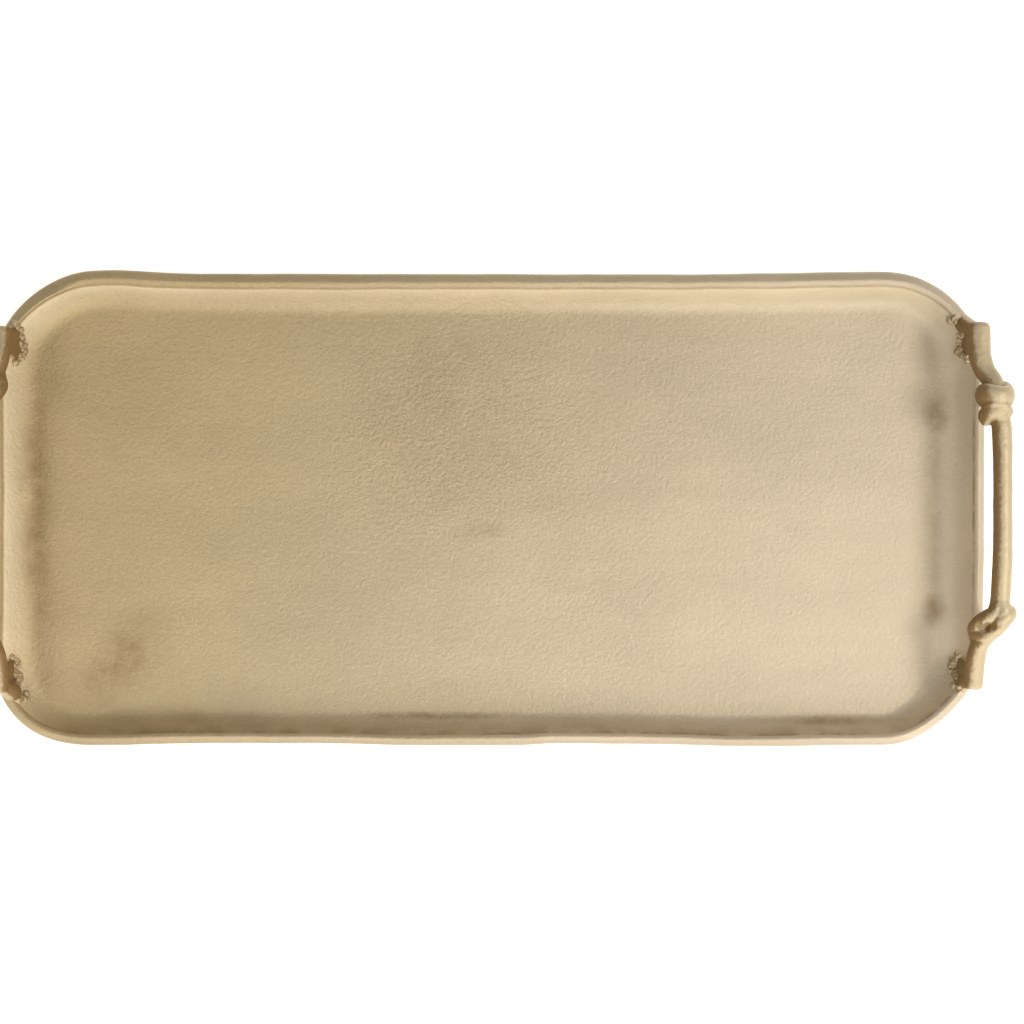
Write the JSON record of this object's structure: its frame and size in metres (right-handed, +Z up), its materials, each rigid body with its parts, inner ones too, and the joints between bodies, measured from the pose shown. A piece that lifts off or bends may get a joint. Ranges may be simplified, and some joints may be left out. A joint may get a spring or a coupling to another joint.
{
  "type": "serving tray",
  "caption": "Shallow rectangular cast brass serving tray with rounded corners, a coved wall, a rounded lip and a knotted-branch handle welded across each short end.",
  "frame": {"origin": "on the table under the middle of the tray", "axes": "+X along the tray towards its right-hand handle, +Y towards its rear long side, +Z up"},
  "size_m": [0.6136, 0.282, 0.0574],
  "materials": {
    "cast_brass": "satin sand-cast, lightly aged",
    "weld_metal": "hand-run bead, rough and a little brighter",
    "felt": "pressed felt"
  },
  "bodies": {
    "root": {"tray_body": "cast_brass", "handle_right": "cast_brass", "handle_left": "cast_brass", "weld_right_rear": "weld_metal", "weld_right_front": "weld_metal", "weld_left_rear": "weld_metal", "weld_left_front": "weld_metal", "pad_right_rear": "felt", "pad_left_rear": "felt", "pad_left_front": "felt", "pad_right_front": "felt"}
  },
  "joints": []
}
